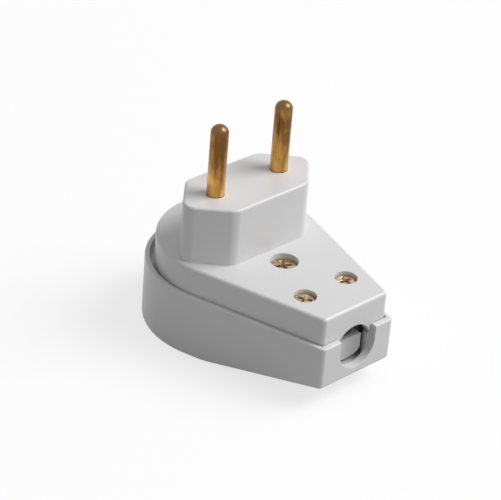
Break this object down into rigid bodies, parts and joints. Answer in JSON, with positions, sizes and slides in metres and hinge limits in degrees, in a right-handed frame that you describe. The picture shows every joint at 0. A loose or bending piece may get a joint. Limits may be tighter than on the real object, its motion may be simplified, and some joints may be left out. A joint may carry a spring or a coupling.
{
  "type": "electrical plug",
  "caption": "Rewirable two-pin mains plug with round brass pins on a hexagonal nose, in a teardrop housing whose cord leaves at a right angle.",
  "frame": {"origin": "on the flat back of the base, under the midpoint between the two pins", "axes": "+Z from the back out along the pins, +X from the left pin to the right pin, the cable leaves toward -Y"},
  "size_m": [0.041, 0.0598, 0.0528],
  "materials": {
    "housing": "light grey moulded thermoplastic, satin",
    "carrier": "grey moulded thermoplastic",
    "clamp": "light grey moulded thermoplastic",
    "pins": "turned brass, slightly tarnished",
    "terminals": "stamped brass",
    "fasteners": "machined brass"
  },
  "bodies": {
    "root": {"base_shell": "housing", "top_cover": "housing", "pin_carrier": "carrier", "cord_clamp": "clamp", "pin_left": "pins", "pin_right": "pins", "terminal_left": "terminals", "terminal_right": "terminals", "main_screw": "fasteners", "clamp_screw_left": "fasteners", "clamp_screw_right": "fasteners", "terminal_screw_left": "fasteners", "terminal_screw_right": "fasteners", "carrier_screw_left": "fasteners", "carrier_screw_right": "fasteners", "main_nut": "fasteners", "clamp_nut_left": "fasteners", "clamp_nut_right": "fasteners", "washer_left": "fasteners", "washer_right": "fasteners"}
  },
  "joints": []
}
